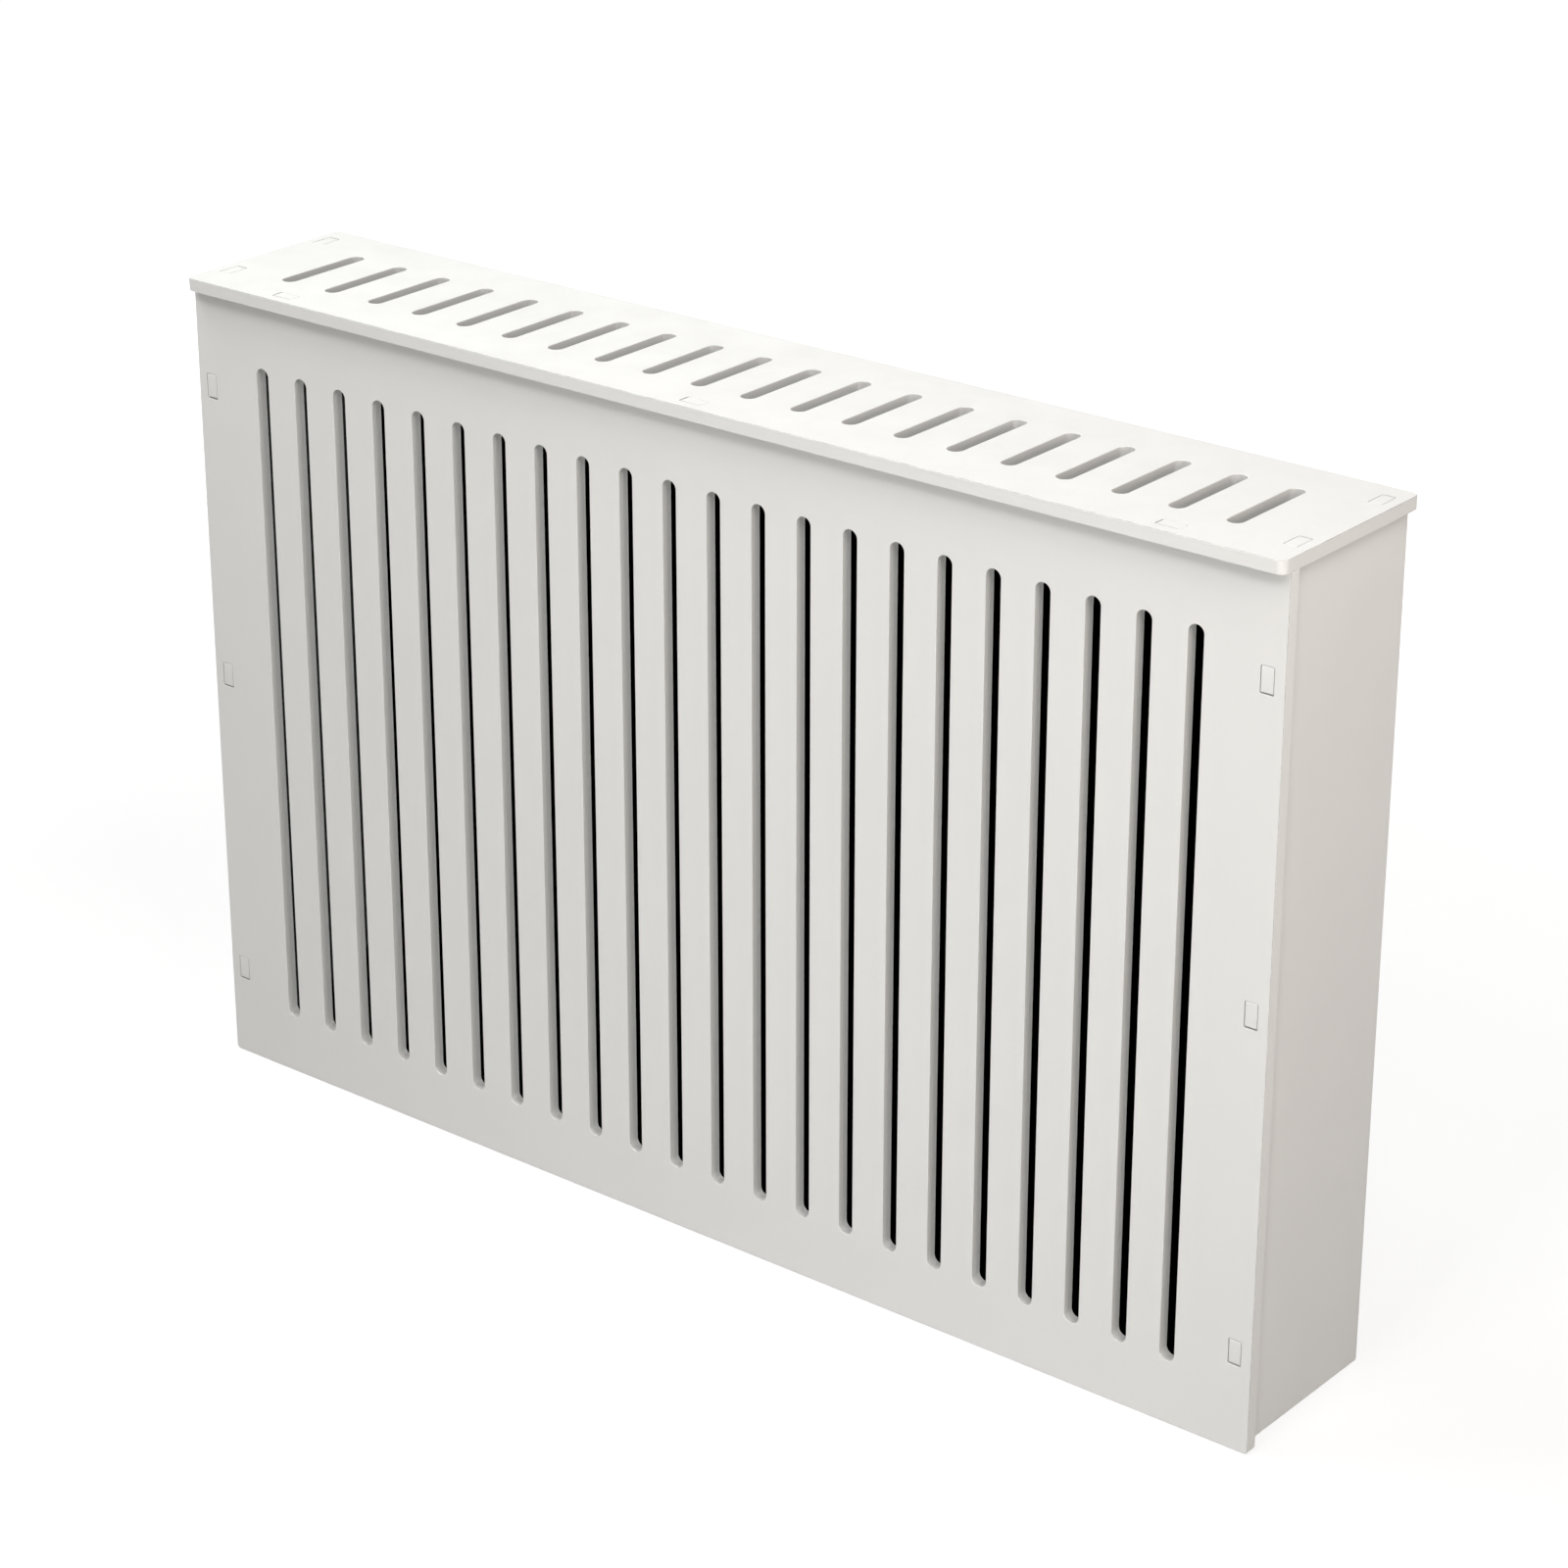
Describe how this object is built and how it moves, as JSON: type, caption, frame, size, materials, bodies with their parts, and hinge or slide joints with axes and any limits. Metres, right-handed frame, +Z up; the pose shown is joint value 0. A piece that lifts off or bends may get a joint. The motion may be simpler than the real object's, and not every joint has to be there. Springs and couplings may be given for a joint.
{
  "type": "radiator cover cabinet",
  "caption": "Slotted white board cover that stands on the floor over a wall radiator, open behind and below, with a flat top shelf and wall brackets.",
  "frame": {"origin": "on the floor, under the middle of the box's footprint", "axes": "+Z up; -Y is the front, with the upright slots; +Y is the open back, towards the wall; +X is to the right of someone facing the front"},
  "size_m": [0.9, 0.15, 0.6],
  "materials": {
    "painted_board": "satin white paint on fine fibreboard",
    "painted_batten": "one thin coat of white paint on planed softwood",
    "zinc_steel": "bright zinc plate on bent flat steel",
    "screw_steel": "zinc plated countersunk wood screws"
  },
  "bodies": {
    "root": {"top_panel": "painted_board", "front_panel": "painted_board", "side_panel_left": "painted_board", "side_panel_right": "painted_board", "batten_front_left": "painted_batten", "batten_front_right": "painted_batten", "batten_top_left": "painted_batten", "batten_top_right": "painted_batten", "batten_top_front": "painted_batten", "wall_bracket_left": "zinc_steel", "wall_bracket_right": "zinc_steel", "wall_bracket_screws": "screw_steel"}
  },
  "joints": []
}
